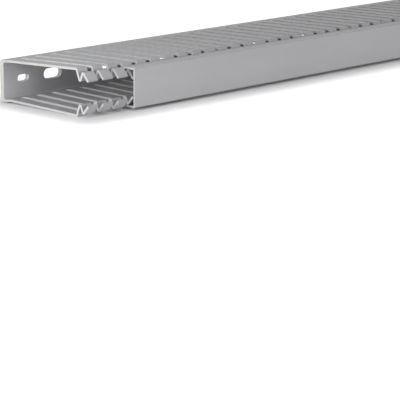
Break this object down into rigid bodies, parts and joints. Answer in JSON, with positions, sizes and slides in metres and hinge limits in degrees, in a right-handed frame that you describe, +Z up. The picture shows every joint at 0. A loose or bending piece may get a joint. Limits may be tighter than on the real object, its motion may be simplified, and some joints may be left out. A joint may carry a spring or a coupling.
{
  "type": "slotted wire duct",
  "caption": "Slotted plastic wire duct with a clip-on cover, open fingers along both side walls and a punched mounting base.",
  "frame": {"origin": "middle of the floor under the duct and its cover, as the duct lies on one slotted side wall", "axes": "+X along the duct towards the end that the cover overhangs, +Y out of the back of the mounting base, +Z up across the duct"},
  "size_m": [2.0394, 0.08, 0.03],
  "materials": {
    "duct_plastic": "plain extruded light grey PVC, punched edges a little lighter",
    "cover_plastic": "smooth extruded light grey PVC with a faint satin sheen"
  },
  "bodies": {
    "duct": {"duct": "duct_plastic"},
    "cover": {"cover": "cover_plastic"}
  },
  "joints": [
    {"name": "cover_slide", "type": "slide", "parent": "duct", "child": "cover", "axis": [1, 0, 0], "range_m": [0, 1.96]}
  ]
}
